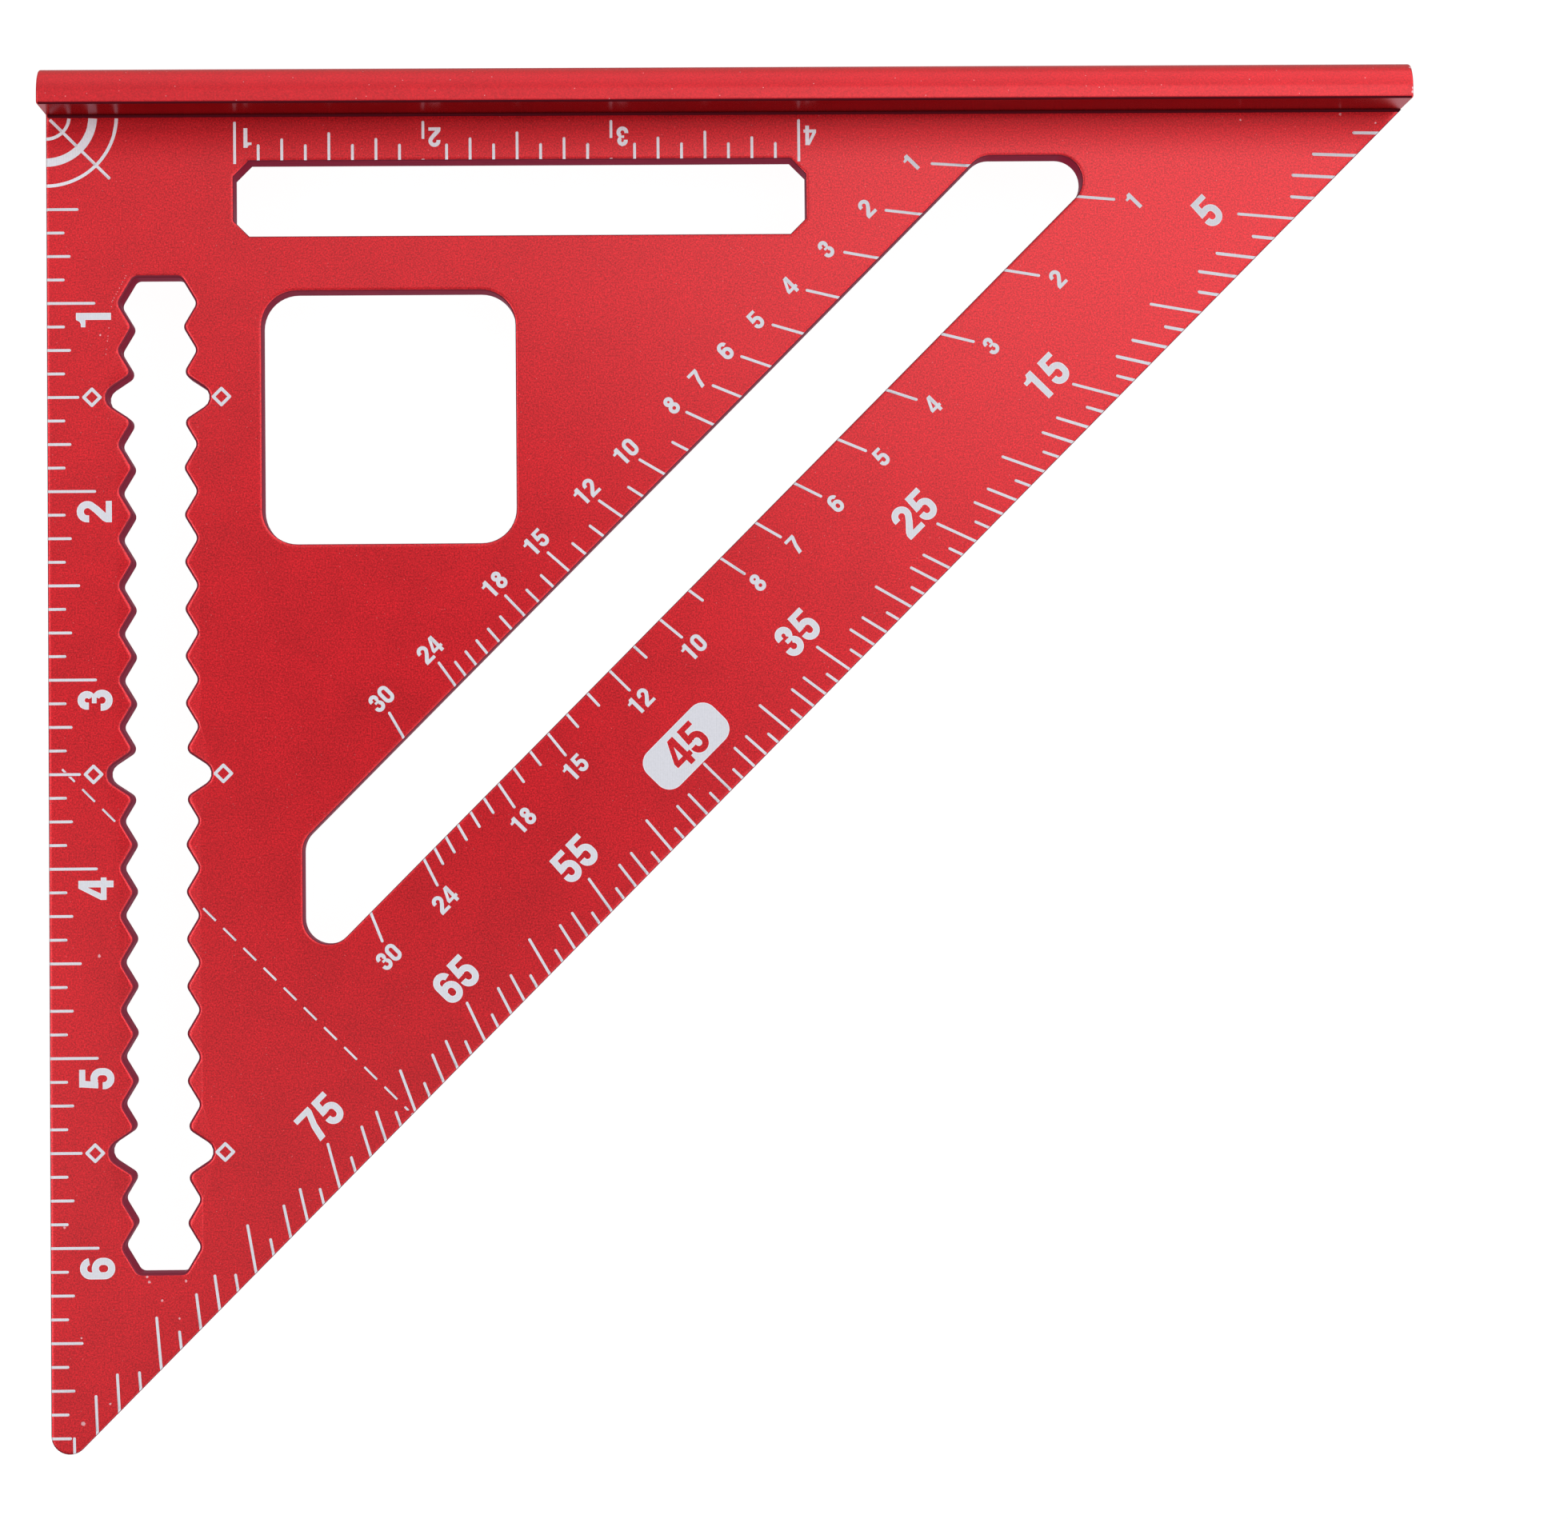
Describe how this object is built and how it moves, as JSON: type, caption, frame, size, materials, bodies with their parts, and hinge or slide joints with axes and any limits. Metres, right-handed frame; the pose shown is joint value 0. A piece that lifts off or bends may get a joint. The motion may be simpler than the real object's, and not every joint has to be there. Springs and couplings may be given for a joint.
{
  "type": "rafter square",
  "caption": "Triangular aluminium rafter square: slotted blade with etched inch, degree and rafter scales, and a raised fence along one leg for hooking over a board edge.",
  "frame": {"origin": "the pivot corner, where the graduated edge meets the fence's inner face, at half the blade's thickness", "axes": "+X along the fence from the pivot corner, +Y from the blade to the fence's back, +Z out of the marked face"},
  "size_m": [0.1835, 0.1851, 0.0222],
  "materials": {
    "anodised_red": "satin red anodising",
    "etched": "matt laser-etched, bare silver"
  },
  "bodies": {
    "root": {"blade": "anodised_red", "fence": "anodised_red", "pivot_arcs": "etched", "pivot_ray": "etched", "edge_inch_ticks": "etched", "edge_fraction_ticks": "etched", "edge_numerals": "etched", "fence_inch_ticks": "etched", "fence_fraction_ticks": "etched", "fence_numerals": "etched", "degree_five_ticks": "etched", "degree_unit_ticks": "etched", "degree_numerals": "etched", "degree_45_plate": "etched", "hip_main_ticks": "etched", "hip_minor_ticks": "etched", "hip_numerals": "etched", "common_main_ticks": "etched", "common_minor_ticks": "etched", "common_numerals": "etched", "notch_diamonds": "etched", "top_cut_dashes": "etched"}
  },
  "joints": []
}
